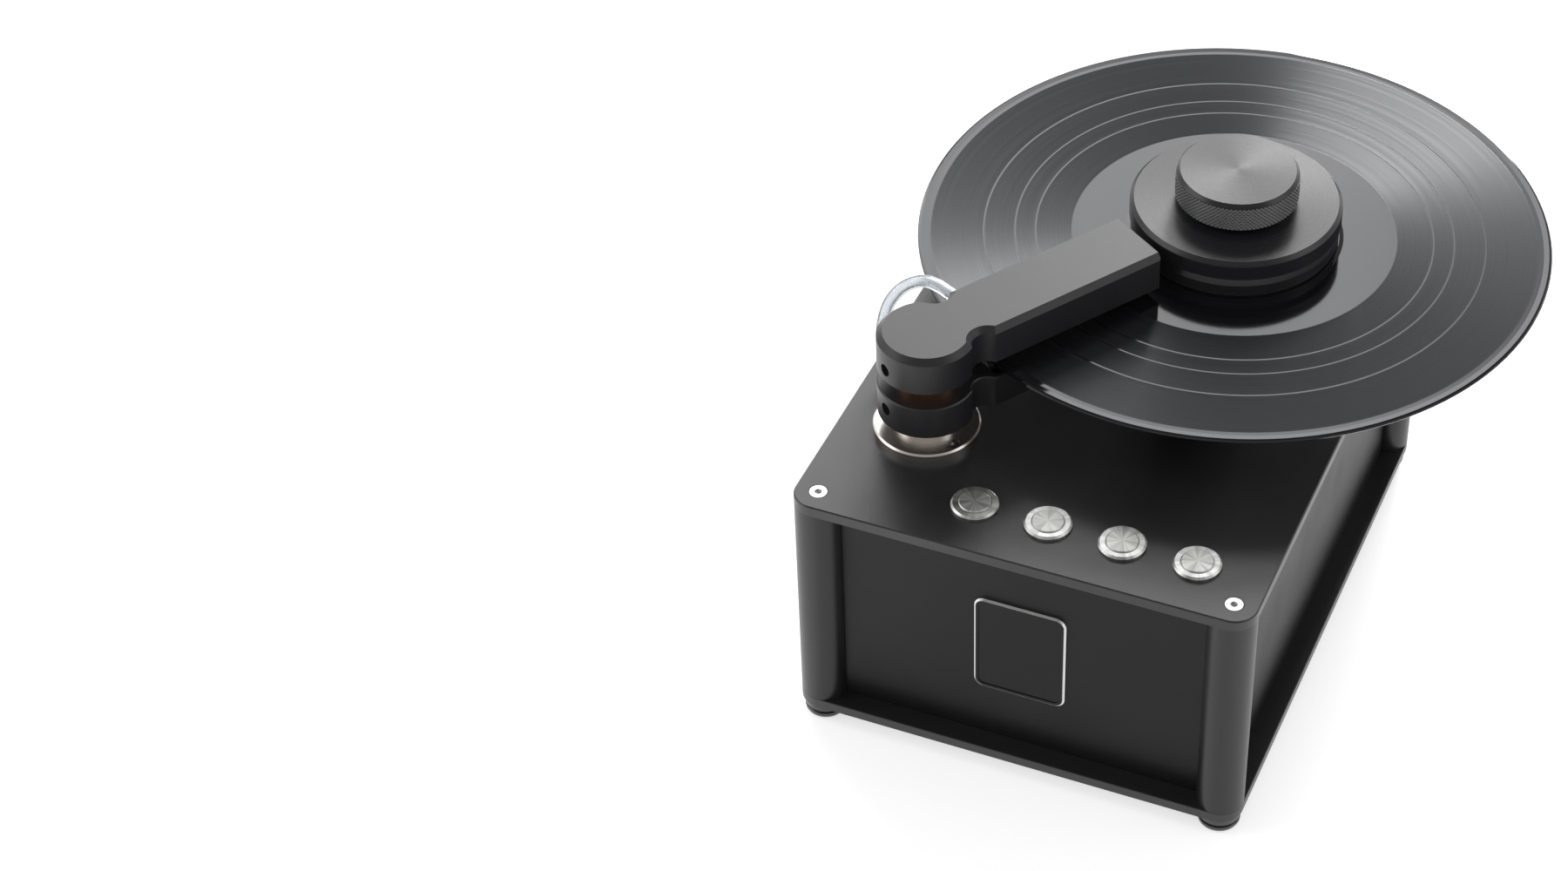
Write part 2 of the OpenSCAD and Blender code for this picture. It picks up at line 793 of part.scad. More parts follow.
module hose(p) {
    n = hose_sides;
    m = len(p);
    side = sides(p, 0, [0.1, 0.2, 1]);
    points = [
        for (r = [hose_d / 2, hose_bore / 2])
            for (i = [0:m - 1])
                for (k = [0:n - 1])
                    let (d = path_dir(p, i), a = 360 * k / n)
                        p[i] + r * (cos(a) * side[i] + sin(a) * cross(d, side[i]))
    ];
    wall_faces = [
        for (i = [0:m - 2])
            for (k = [0:n - 1])
                let (a = i * n + k, b = i * n + (k + 1) % n, s = m * n)
                    each [
                        [a, b, b + n], [a, b + n, a + n],
                        [s + a, s + b + n, s + b], [s + a, s + a + n, s + b + n]
                    ]
    ];
    end_faces = [
        for (k = [0:n - 1])
            let (b = (k + 1) % n, s = m * n, e = (m - 1) * n)
                each [
                    [k, s + b, b], [k, s + k, s + b],
                    [e + k, e + b, s + e + b], [e + k, s + e + b, s + e + k]
                ]
    ];
    polyhedron(points, concat(wall_faces, end_faces));
}

module lower_arm_hose() {
    color(silicone) place() hose(smooth_path(lower_hose_path, 2));
}

module upper_arm_hose() {
    color(silicone) place() hose(smooth_path(upper_hose_path, 2));
}

module hose_grommets() {
    color(rubber) place() for (p = [hose_hole_1, hose_hole_2])
        translate([p[0], p[1], -top_t]) tube(hose_hole_r, hose_d / 2 + clear, top_t);
}

// Block that joins both hoses and leads them down to the blower
manifold_x = inner_left + seam;
manifold_w = 22;
manifold_d = 28;
manifold_h = 16;
manifold_y = 86;
duct_r = 6;
blower_h = 58;
blower_top = floor_z + blower_h;
duct_x = manifold_x + manifold_w - duct_r - 1;
duct_y = manifold_y + 8;

module suction_manifold() {
    color(black) place() difference() {
        union() {
            translate([manifold_x, manifold_y, -top_t - manifold_h])
                cube([manifold_w, manifold_d, manifold_h]);
            translate([duct_x, duct_y, blower_top])
                cylinder(r = duct_r, h = -top_t - manifold_h - blower_top + eps);
            for (p = [hose_hole_1, hose_hole_2])
                translate([p[0], p[1], -top_t]) cylinder(r = hose_d / 2, h = manifold_top + top_t);
        }
        for (p = [hose_hole_1, hose_hole_2])
            translate([p[0], p[1], manifold_top - 8]) cylinder(r = hose_bore / 2, h = 9);
    }
}

// Hub: fixed bearing, turning shaft and platter
bearing_top = seat_z - platter_t - 0.7 - clear;
bearing_flange_r = bearing_r + 8;
bearing_tail = 34;
pulley_z = -top_t - bearing_tail - 16;
pulley_h = 8;
platter_pulley_r = 22;

module hub_bearing() {
    color(anodised) place() at_hub() difference() {
        union() {
            translate([0, 0, -top_t - eps]) turned(bearing_r, bearing_top + top_t + eps, 0.6, 0);
            translate([0, 0, -top_t - 4]) cylinder(r = bearing_flange_r, h = 4);
            translate([0, 0, -top_t - bearing_tail]) cylinder(r = bearing_r - 4, h = bearing_tail);
        }
        translate([0, 0, -top_t - bearing_tail - 1])
            cylinder(r = shaft_r + fit, h = bearing_tail + bearing_top + top_t + 2);
    }
}

spindle_top = disc_top + 9;
platter_z = seat_z - 0.7 - platter_t;

module spindle() {
    color(steel) place() at_hub() {
        translate([0, 0, pulley_z - 2]) cylinder(r = shaft_r, h = seat_z - 1 - pulley_z + 2);
        translate([0, 0, seat_z - 1 - eps]) turned(spindle_r, spindle_top - seat_z + 1, 0.8, 0);
    }
}

module platter() {
    color(anodised) place() at_hub() translate([0, 0, platter_z]) difference() {
        rotate_extrude() polygon([
            [0, 0], [platter_r - 0.5, 0], [platter_r, 0.5], [platter_r, 2.2],
            [platter_r - 1, 2.5], [platter_r - 1, 3.1], [platter_r - 0.6, 3.4],
            [platter_r - 0.6, platter_t - 0.6], [platter_r - 1.2, platter_t], [0, platter_t],
        ]);
        translate([0, 0, -1]) cylinder(r = shaft_r + fit, h = platter_t + 2);
    }
}

module platter_seal() {
    color(rubber) place() at_hub() translate([0, 0, platter_z + platter_t])
        tube(clamp_r - 1.4, shaft_r + 2, 0.7);
}

module platter_pulley() {
    color(black) place() at_hub() translate([0, 0, pulley_z]) difference() {
        union() {
            cylinder(r = platter_pulley_r, h = pulley_h);
            cylinder(r = platter_pulley_r + pulley_rim, h = 1);
            translate([0, 0, pulley_h - 1]) cylinder(r = platter_pulley_r + pulley_rim, h = 1);
        }
        translate([0, 0, -1]) cylinder(r = shaft_r + fit, h = pulley_h + 2);
    }
}

// Record: thick rim and label area, thinner grooved band
module record() {
    dip = (record_t - groove_t) / 2;
    color(black) place() at_hub() translate([0, 0, seat_z]) rotate_extrude() polygon([
        [record_hole_r, 0], [label_r, 0], [label_r + 2, dip], [record_r - 4, dip], [record_r - 1.5, 0],
        [record_r - 0.5, 0.3], [record_r, record_t / 2], [record_r - 0.5, record_t - 0.3],
        [record_r - 1.5, record_t], [record_r - 4, record_t - dip], [label_r + 2, record_t - dip],
        [label_r, record_t], [record_hole_r, record_t],
    ]);
}

// Clamp
stem_r = 8;
stem_len = 7;

module clamp_disc() {
    color(anodised) place() at_hub() translate([0, 0, disc_z]) difference() {
        union() {
            cylinder(r = clamp_r - 1, h = 0.6);
            translate([0, 0, 0.5]) turned(clamp_r, clamp_t - 0.5, 1.9, 0.3);
        }
        translate([0, 0, -1]) cylinder(r = spindle_r + fit, h = clamp_t + 2);
        translate([0, 0, clamp_t - stem_len - clear]) cylinder(r = stem_r + fit, h = stem_len + 2);
    }
}

module clamp_ring() {
    color(anodised) place() at_hub() translate([0, 0, clamp_z]) difference() {
        rotate_extrude() polygon([
            [0, 0], [clamp_r - 1.2, 0], [clamp_r - 0.8, 0.4], [clamp_r - 0.8, ring_h * 0.6],
            [clamp_r - 1.8, ring_h - 0.4], [clamp_r - 2.4, ring_h], [0, ring_h],
        ]);
        translate([0, 0, -1]) cylinder(r = spindle_r + fit, h = ring_h + 2);
    }
}

module clamp_seal() {
    color(rubber) place() at_hub() translate([0, 0, record_top]) tube(clamp_r - 1.6, clamp_r - 9, seal_t);
}

module clamp_knob() {
    lip = 1.7;
    color(anodised) place() at_hub() translate([0, 0, knob_z]) difference() {
        union() {
            cylinder(r = knob_r - knurl_depth - 0.4, h = knob_h - 1);
            linear_extrude(knob_h - lip) polygon([
                for (i = [0:2 * knob_ridges - 1])
                    let (a = 180 * i / knob_ridges, r = knob_r - 0.1 - (i % 2) * knurl_depth)
                        [r * cos(a), r * sin(a)]
            ]);
            translate([0, 0, knob_h - lip - 0.1]) turned(knob_r, lip + 0.1, lip, 0);
            translate([0, 0, -knob_gap + clear]) cylinder(r = knob_r * 0.62, h = knob_gap);
            translate([0, 0, -knob_gap - stem_len]) cylinder(r = stem_r, h = stem_len + knob_gap);
        }
        translate([0, 0, -knob_gap - stem_len - 1])
            cylinder(r = spindle_r + fit, h = stem_len + spindle_top - disc_top + 2);
    }
}

// Drive inside the housing
belt_run_x = 74;
belt_run_y = 13;
motor_x = hub_at[0] - belt_run_x;
motor_y = hub_at[1] - belt_run_y;
motor_r = 21;
motor_h = 38;
motor_shaft_r = 2.5;
motor_pulley_r = 8;
pulley_rim = 2;
belt_t = 1.2;
belt_gap = 0.3;

module drive_motor() {
    color(steel) place() translate([motor_x, motor_y, -top_t - motor_h]) difference() {
        union() {
            turned(motor_r, motor_h, 0, 1.5);
            translate([0, 0, -3]) cylinder(r = 6, h = 3 + eps);
        }
        translate([0, 0, -4]) cylinder(r = motor_shaft_r + fit, h = 20);
    }
}

module motor_pulley() {
    color(black) place() translate([motor_x, motor_y, pulley_z]) {
        cylinder(r = motor_pulley_r, h = pulley_h);
        cylinder(r = motor_pulley_r + pulley_rim, h = 1);
        translate([0, 0, pulley_h - 1]) cylinder(r = motor_pulley_r + pulley_rim, h = 1);
        cylinder(r = motor_shaft_r, h = -top_t - motor_h + 8 - pulley_z);
    }
}

belt_dist = norm([belt_run_x, belt_run_y]);

module belt_outline(grow) {
    r1 = motor_pulley_r + grow;
    r2 = platter_pulley_r + grow;
    a = acos((r1 - r2) / belt_dist);
    steps = 24;
    polygon([
        for (i = [0:steps]) let (t = a + (360 - 2 * a) * i / steps) r1 * [cos(t), sin(t)],
        for (i = [0:2 * steps]) let (t = -a + a * i / steps) [belt_dist + r2 * cos(t), r2 * sin(t)]
    ]);
}

module drive_belt() {
    color(rubber) place() translate([motor_x, motor_y, pulley_z + 1.5]) rotate(atan2(belt_run_y, belt_run_x))
        linear_extrude(pulley_h - 3) difference() {
            belt_outline(belt_t + belt_gap);
            belt_outline(belt_gap);
        }
}

// Vacuum and fluid parts on the bottom plate
part_gap = 6;
blower_r = 40;
blower_x = inner_left + blower_r + part_gap;
blower_y = inner_front + blower_r + 38.5;
blower_base_h = 34;
outlet_r = 9;
outlet_len = 22;

module vacuum_blower() {
    color(black) place() translate([blower_x, blower_y, floor_z]) {
        turned(blower_r, blower_base_h, 1.5, 0);
        translate([0, 0, blower_base_h - eps]) turned(blower_r - 3, blower_h - blower_base_h, 1.5, 0);
        translate([0, blower_r - 12, outlet_r + 2]) rotate([-90, 0, 0]) cylinder(r = outlet_r, h = outlet_len);
    }
}

pump_r = 14;
pump_h = 38;
pump_x = inner_left + pump_r + 3;
pump_y = blower_y + blower_r + pump_r + 4;

module fluid_pump() {
    color(steel) place() translate([pump_x, pump_y, floor_z]) {
        turned(pump_r, pump_h, 1, 0);
        translate([0, 0, pump_h - 1]) turned(pump_r - 4, 10, 1, 0);
    }
}

// A tank with rounded edges and a screw cap
tank_w = 82;
tank_r = 4;
tank_cap_r = 11;
tank_cap_h = 8;
tank_x = inner_right - 4 - tank_w;
fluid_tank_y = inner_front + 22.5;
fluid_tank_d = 74;
fluid_tank_h = 50;
waste_tank_y = fluid_tank_y + fluid_tank_d + 8;
waste_tank_d = 78;
waste_tank_h = 44;

module tank(d, h) {
    round_block([tank_w, d, h], tank_r);
    translate([tank_w / 2, d / 2, h - eps]) turned(tank_cap_r, tank_cap_h, 1, 0);
}

module fluid_tank() {
    color(translucent) place() translate([tank_x, fluid_tank_y, floor_z]) tank(fluid_tank_d, fluid_tank_h);
}

module waste_tank() {
    color(translucent) place() translate([tank_x, waste_tank_y, floor_z]) tank(waste_tank_d, waste_tank_h);
}

supply_w = 80;
supply_d = 56;
supply_h = 26;
coil_w = 34;
coil_h = 16;
inlet_depth = 18;
supply_y = rear_y - inlet_depth - 2.5 - supply_d;

module power_supply() {
    color(steel) place() translate([inner_left + 8.5, supply_y, floor_z]) {
        round_block([supply_w, supply_d, supply_h], 2);
        translate([14, 10, supply_h - eps]) round_block([coil_w, coil_w, coil_h], 2);
    }
}

board_t = 1.6;
board_d = 26;
board_drop = barrel_len - top_t + 4;
board_margin = 24;
standoff_r = 2.5;
relay_w = 12;
relay_d = 10;
relay_h = 5;

module control_board() {
    x0 = first_button_x - board_margin;
    color(board_green) place() translate([x0, inner_front + 3, -top_t - board_drop]) {
        cube([3 * button_pitch + board_margin + 10, board_d, board_t]);
        for (i = [0.5, 2.5])
            translate([board_margin + i * button_pitch, board_d - 5, board_t - eps])
                cylinder(r = standoff_r, h = board_drop - board_t + eps);
        for (i = [0:3])
            translate([14 + 26 * i, 4, -relay_h]) cube([relay_w, relay_d, relay_h + eps]);
    }
}

// Mains inlet with three flat pins in a shrouded cavity
inlet_wall = 2;
inlet_pin_w = 2;
inlet_pin_h = 4;
inlet_pin_len = 12;

module inlet_socket() {
    color(black) place() translate([socket_x, rear_y, socket_z]) difference() {
        union() {
            translate([0, -inlet_depth, 0]) cube([socket_w, inlet_depth + panel_t, socket_h]);
            translate([-inlet_wall, panel_t, -inlet_wall])
                cube([socket_w + 2 * inlet_wall, 2.5, socket_h + 2 * inlet_wall]);
        }
        translate([inlet_wall, -inlet_depth + 5, 2.5]) cube([socket_w - 2 * inlet_wall, 30, socket_h - 5]);
    }
    color(steel) place() for (i = [-1:1])
        translate([
            socket_x + (socket_w - inlet_pin_w) / 2 + 7 * i, rear_y - inlet_depth + 4,
            socket_z + socket_h / 2 + (i == 0 ? 1 : -4)
        ]) cube([inlet_pin_w, inlet_pin_len, inlet_pin_h]);
}

// Drain pipe from the waste tank, with a hexagon nut and a hose spigot outside
spigot_len = 14;
drain_nut_r = 7;
drain_nut_t = 4;
drain_pipe_len = rear_y - waste_tank_y - waste_tank_d;

module drain_spigot() {
    color(steel) place() translate([drain_x, rear_y, drain_z]) rotate([-90, 0, 0]) difference() {
        union() {
            translate([0, 0, -drain_pipe_len]) cylinder(r = spigot_r + 0.5, h = drain_pipe_len - 3);
            translate([0, 0, -drain_nut_t]) cylinder(r = drain_nut_r, h = drain_nut_t, $fn = 6);
            cylinder(r = spigot_r, h = panel_t + spigot_len);
            translate([0, 0, panel_t]) cylinder(r = drain_nut_r, h = 2);
        }
        translate([0, 0, -drain_pipe_len + 2]) cylinder(r = 2.5, h = drain_pipe_len + panel_t + spigot_len);
    }
}

// Upper arm, with its working face down
upper_grub_z = upper_z + upper_t * 0.33;
end_plate_w = 30;
end_plate_h = 13;
end_plate_t = 2;

module upper_face() {
    translate([0, 0, upper_z]) mirror([0, 0, 1]) children();
}

module upper_arm() {
    color(anodised) place() at_tower() difference() {
        translate([0, 0, upper_z])
            arm_block(upper_end, upper_t, arm_chamfer) square_ended_bar(upper_end, 0.8);
        translate([0, 0, upper_z - 1]) cylinder(r = tower_shaft_r + fit, h = upper_t * 0.7 + 1 + clear);
        upper_face() face_cuts(upper_lip_end);
        grub_hole(upper_grub_z);
        translate([upper_end - end_plate_t, -end_plate_w / 2 - seam, upper_z + 2.5 - seam])
            cube([end_plate_t + 1, end_plate_w + 2 * seam, end_plate_h + 2 * seam]);
        for (v = [-end_screw_v, end_screw_v])
            translate([upper_end - 12, v, end_screw_z]) rotate([0, 90, 0]) cylinder(r = 1.7, h = 13);
        translate([barb_u - 1.5, arm_half + 1, upper_barb_z])
            rotate([90, 0, 0]) cylinder(r = barb_hole_r + fit, h = barb_stem + 2);
    }
}

end_screw_v = 11.5;
end_screw_z = upper_z + 2.5 + end_plate_h / 2;

module arm_end_plate() {
    color(anodised) place() at_tower() difference() {
        translate([upper_end - end_plate_t, -end_plate_w / 2, upper_z + 2.5])
            cube([end_plate_t - 0.3, end_plate_w, end_plate_h]);
        for (v = [-end_screw_v, end_screw_v])
            translate([upper_end - 3, v, end_screw_z]) rotate([0, 90, 0]) cylinder(r = 1.7, h = 4);
    }
}

module upper_arm_screws() {
    color(steel) place() at_tower() {
        for (v = [-end_screw_v, end_screw_v])
            translate([upper_end - 0.3, v, end_screw_z]) rotate([0, 90, 0]) difference() {
                union() {
                    turned(2.7, 1.6, 0.3, 0);
                    translate([0, 0, -9]) cylinder(r = 1.6, h = 9 + eps);
                }
                translate([0, 0, 0.6]) cylinder(r = 1.2, h = 2, $fn = 6);
            }
        grub_screw(upper_grub_z, tower_shaft_r + clear, 10);
    }
}

module upper_lip_rails() {
    color(silver) place() at_tower() upper_face()
        for (v = [lip_1_v, lip_2_v]) lip_rail(upper_lip_end, v, rail_rise);
}

module upper_arm_lips() {
    color(black) place() at_tower() upper_face()
        for (v = [lip_1_v, lip_2_v]) lip_pile(upper_lip_end, v, upper_pile);
}

module upper_hose_barb() {
    color(silver) place() at_tower()
        translate([barb_u - 1.5, arm_half, upper_barb_z]) rotate([-90, 0, 0]) hose_barb(upper_barb_out);
}

top_plate();
bottom_plate();
front_panel();
rear_panel();
left_panel();
right_panel();
corner_posts();
plate_screws();
feet();
foot_pads();
front_badge();
button_bezels();
button_nuts();
button_cap_1();
button_cap_2();
button_cap_3();
button_cap_4();
tower_flange();
flange_screws();
tower_shaft();
tower_nut();
bronze_bush();
lower_arm();
lower_arm_lips();
lower_lip_rails();
brush_holder();
thumb_screw();
lower_arm_screw();
lower_hose_barb();
lower_arm_hose();
hose_grommets();
suction_manifold();
hub_bearing();
spindle();
platter();
platter_seal();
platter_pulley();
record();
clamp_disc();
clamp_ring();
clamp_seal();
clamp_knob();
drive_motor();
motor_pulley();
drive_belt();
vacuum_blower();
fluid_pump();
fluid_tank();
waste_tank();
power_supply();
control_board();
inlet_socket();
drain_spigot();
upper_arm();
upper_arm_lips();
upper_lip_rails();
arm_end_plate();
upper_arm_screws();
upper_hose_barb();
upper_arm_hose();
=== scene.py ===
import math

import bmesh
import bpy
import numpy as np
from mathutils import Matrix, Vector


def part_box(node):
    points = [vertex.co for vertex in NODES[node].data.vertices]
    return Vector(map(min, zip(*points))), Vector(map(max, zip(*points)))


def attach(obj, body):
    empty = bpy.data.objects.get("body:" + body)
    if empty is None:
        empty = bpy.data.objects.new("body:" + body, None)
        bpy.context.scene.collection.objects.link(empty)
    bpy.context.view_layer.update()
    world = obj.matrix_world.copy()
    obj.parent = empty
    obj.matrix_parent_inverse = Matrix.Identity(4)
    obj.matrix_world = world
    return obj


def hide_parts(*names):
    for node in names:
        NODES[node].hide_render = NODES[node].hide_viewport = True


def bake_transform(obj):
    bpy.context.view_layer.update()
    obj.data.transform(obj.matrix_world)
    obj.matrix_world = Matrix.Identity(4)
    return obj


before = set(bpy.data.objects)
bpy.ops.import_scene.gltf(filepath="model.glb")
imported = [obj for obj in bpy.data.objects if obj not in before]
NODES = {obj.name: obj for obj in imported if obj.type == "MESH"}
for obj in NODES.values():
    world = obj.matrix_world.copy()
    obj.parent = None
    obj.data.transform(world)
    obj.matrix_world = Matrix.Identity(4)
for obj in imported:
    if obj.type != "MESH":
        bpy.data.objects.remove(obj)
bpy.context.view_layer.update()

# Lengths are in metres, and in millimetres where a name or a docstring says so.
MM = 0.001

# Hoses
HOSE_RADIUS = 0.003
HOSE_BORE = 0.0017
HOSE_STEPS = 8

# Knurled grip of the clamp's knob: its place below the knob's top, and its radii
GRIP_BELOW_TOP = 0.0017
GRIP_HEIGHT = 0.0120
GRIP_SHY = 0.0002
GRIP_INNER = 0.0284
GRIP_ROOT = 0.02902
GRIP_CREST = 0.02945
GRIP_RIDGES = 90
GRIP_ROWS = 12

# Front plaque: the radius of its corners, and the width of its polished edge
PLAQUE_CORNER = 0.005
PLAQUE_RIM = 0.0008

# Button: the middle of the painted shade in the gap round its cap, and how that painted shade
# fades on each side
BUTTON_GAP_SHADE_MM = 7.62
BUTTON_GAP_SHADE_FADE_MM = (0.16, 0.32)

# Record: where the grooves fade in and out, and the smooth gaps between tracks with half widths
GROOVES_START_MM = (77.2, 78.0)
GROOVES_END_MM = (144.2, 145.0)
TRACK_GAPS_MM = ((94.7, 0.30), (104.5, 0.28), (119.4, 0.34))
TRACK_GAP_FADE_MM = 0.25

# Blender's radial tangent runs along the rings; a quarter turn lays the highlight across them
RING_ROTATION = 0.25

# Camera, at the photograph's viewing angle; its place is given from the top plate's corner
CAMERA_RIGHT = Vector((0.93266666, 0.36065208, 0.00793616))
CAMERA_UP = Vector((-0.24962456, 0.62934885, 0.73593994))
CAMERA_PLACE_MM = (496.45, -1029.78, 1051.95)
CAMERA_SENSOR_MM = 36
CAMERA_LENS_MM = 79.13
CAMERA_SHIFT = (-0.14265, 0.03859)
CAMERA_CLIP = (0.05, 50)

# Floor
FLOOR_HALF = 12
FLOOR_GREY = 0.8
FLOOR_GLOW = 0.62

# Surroundings: a slow change with elevation in degrees, and soft bright panels on it
SKY_ELEVATIONS = (5.0, 55.0)
SKY_RADIANCES = (0.9, 0.25)
PANELS = [
    # azimuth, elevation, half width, half height, edge softness (both), radiance
    (122.0, 33.5, 22.0, 10.8, 4.0, 4.0, 4.0),
    (95.5, 14.0, 7.5, 16.0, 0.8, 2.0, 30.0),
    (200.0, 40.0, 22.0, 18.0, 8.0, 8.0, 1.6),
    (10.0, 40.0, 18.0, 18.0, 8.0, 8.0, 0.9),
]

# Places of the frame

plate_lo, plate_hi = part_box("top_plate")
ORIGIN = Vector((plate_lo.x, plate_lo.y, plate_hi.z))


def on_plate(x, y, z):
    """A point given in mm from the top plate's front left corner."""
    return ORIGIN + Vector((x, y, z)) * MM


def centre(node):
    lo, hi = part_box(node)
    return (lo + hi) / 2


HUB = centre("record")
TOWER = centre("bronze_bush")
TOWER_MM = (TOWER - ORIGIN) * 1000
ARM_DIR = Vector((HUB.x - TOWER.x, HUB.y - TOWER.y, 0)).normalized()
ARM_SIDE = Vector((-ARM_DIR.y, ARM_DIR.x, 0))


# Node trees and materials


class Tree:
    """Short calls that build a node tree."""

    def __init__(self, nt):
        self.nt = nt

    def node(self, kind, **props):
        n = self.nt.nodes.new(kind)
        for key, value in props.items():
            setattr(n, key, value)
        return n

    def put(self, value, socket):
        """Link another node's output to a socket, or set the socket to a number or colour."""
        if isinstance(value, bpy.types.NodeSocket):
            self.nt.links.new(value, socket)
        else:
            socket.default_value = value

    def math(self, op, a, b=None):
        n = self.node("ShaderNodeMath", operation=op)
        self.put(a, n.inputs[0])
        if b is not None:
            self.put(b, n.inputs[1])
        return n.outputs[0]

    def away(self, value, middle):
        """How far a value is from a middle."""
        return self.math("ABSOLUTE", self.math("SUBTRACT", value, middle))

    def hypot(self, a, b):
        squares = [self.math("MULTIPLY", v, v) for v in (a, b)]
        return self.math("SQRT", self.math("ADD", *squares))

    def mapped(self, value, lo, hi, to_lo, to_hi, smooth=False):
        n = self.node("ShaderNodeMapRange")
        if smooth:
            n.interpolation_type = "SMOOTHSTEP"
        self.put(value, n.inputs["Value"])
        ends = {"From Min": lo, "From Max": hi, "To Min": to_lo, "To Max": to_hi}
        for key, end in ends.items():
            n.inputs[key].default_value = end
        return n.outputs["Result"]

    def mix_value(self, factor, a, b):
        n = self.node("ShaderNodeMix", data_type="FLOAT")
        for value, socket in ((factor, "Factor"), (a, 2), (b, 3)):
            self.put(value, n.inputs[socket])
        return n.outputs[0]

    def mix_colour(self, factor, a, b):
        n = self.node("ShaderNodeMix", data_type="RGBA")
        for value, socket in ((factor, "Factor"), (a, 6), (b, 7)):
            self.put(value, n.inputs[socket])
        return n.outputs[2]

    def xyz(self, vector):
        n = self.node("ShaderNodeSeparateXYZ")
        self.put(vector, n.inputs[0])
        return n.outputs


class Mat(Tree):
    """A material built on its Principled shader."""

    def __init__(self, name, base, metallic=0.0, rough=0.5, **sockets):
        self.material = bpy.data.materials.new(name)
        self.material.use_nodes = True
        super().__init__(self.material.node_tree)
        self.shader = self.nt.nodes["Principled BSDF"]
        self.shade("Base Color", (*base, 1))
        self.shade("Metallic", metallic)
        self.shade("Roughness", rough)
        for key, value in sockets.items():
            self.shade(key.replace("_", " "), value)

    def shade(self, key, value):
        self.put(value, self.shader.inputs[key])

    def coords(self):
        return self.node("ShaderNodeTexCoord").outputs["Object"]

    def noise(self, scale, detail):
        n = self.node("ShaderNodeTexNoise")
        n.inputs["Scale"].default_value = scale
        n.inputs["Detail"].default_value = detail
        self.put(self.coords(), n.inputs["Vector"])
        return n.outputs["Fac"]

    def line_noise(self, value, scale, detail=3.0):
        """Noise along one value only, such as rings of a radius or of a height."""
        n = self.node("ShaderNodeTexNoise", noise_dimensions="1D")
        n.inputs["Scale"].default_value = scale
        n.inputs["Detail"].default_value = detail
        self.put(value, n.inputs["W"])
        return n.outputs["Fac"]

    def radius(self, axis):
        """Distance from an upright axis, in metres."""
        x, y, _ = self.xyz(self.coords())
        return self.hypot(self.math("SUBTRACT", x, axis.x), self.math("SUBTRACT", y, axis.y))

    def facing_up(self):
        """1 on flat faces that look up or down, 0 on upright sides."""
        normal = self.node("ShaderNodeNewGeometry").outputs["True Normal"]
        return self.mapped(self.math("ABSOLUTE", self.xyz(normal)[2]), 0.3, 0.9, 0, 1)

    def bump(self, height, distance, strength):
        n = self.node("ShaderNodeBump")
        n.inputs["Strength"].default_value = strength
        n.inputs["Distance"].default_value = distance
        self.put(height, n.inputs["Height"])
        self.shade("Normal", n.outputs["Normal"])

    def rough_from(self, value, lo, hi):
        self.shade("Roughness", self.mapped(value, 0.3, 0.7, lo, hi))

    def colour_from(self, value, dark, light, from_lo=0.3, from_hi=0.7):
        factor = self.mapped(value, from_lo, from_hi, 0, 1)
        self.shade("Base Color", self.mix_colour(factor, (*dark, 1), (*light, 1)))

    def across_rings(self, amount):
        """Stretch highlights across fine rings round an upright axis."""
        self.shade("Anisotropic", amount)
        self.shade("Anisotropic Rotation", RING_ROTATION)
        tangent = self.node("ShaderNodeTangent", direction_type="RADIAL", axis="Z")
        self.shade("Tangent", tangent.outputs[0])


def anodised(name, base, rough, spec=0.5, ior=1.6):
    """Anodised aluminium: a fine blasted grain, and a gloss that changes slowly."""
    a = Mat(name, base, rough=rough, Specular_IOR_Level=spec, IOR=ior)
    fine = a.noise(5200, 3)
    a.rough_from(a.noise(38, 3), rough - 0.025, rough + 0.035)
    a.colour_from(fine, [c * 0.8 for c in base], [c * 1.25 for c in base])
    a.bump(fine, 0.00006, 0.35)
    return a


def turned(name, base, rough, axis=None, metallic=0.0, aniso=0.0, ring=9000, depth=0.000012,
           **sockets):
    """Turned metal: fine rings along the height, and round the axis on flat faces if given."""
    t = Mat(name, base, metallic, rough, **sockets)
    height = t.line_noise(t.xyz(t.coords())[2], ring)
    if axis is not None:
        height = t.mix_value(t.facing_up(), height, t.line_noise(t.radius(axis), ring))
    t.bump(height, depth, 0.6)
    t.rough_from(height, rough - 0.04, rough + 0.05)
    if aniso:
        t.across_rings(aniso)
    return t


def plaque(name, node, corner, rim):
    """Glossy black face with a polished edge, split by the distance from the rounded outline."""
    black, polished = (0.010, 0.010, 0.011), (0.75, 0.75, 0.74)
    q = Mat(name, black, rough=0.2, Specular_IOR_Level=0.2)
    lo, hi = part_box(node)
    place = q.xyz(q.coords())
    past_corner = []
    for axis in (0, 2):
        off = q.away(place[axis], (lo[axis] + hi[axis]) / 2)
        straight = (hi[axis] - lo[axis]) / 2 - corner
        past_corner.append(q.math("MAXIMUM", q.math("SUBTRACT", off, straight), 0.0))
    edge = q.mapped(q.hypot(*past_corner), corner - rim - 0.0001, corner - rim, 0, 1)
    q.colour_from(edge, black, polished, 0, 1)
    q.shade("Metallic", edge)
    q.rough_from(q.noise(60, 3), 0.12, 0.2)
    q.bump(q.noise(3000, 2), 0.00002, 0.2)
    return q


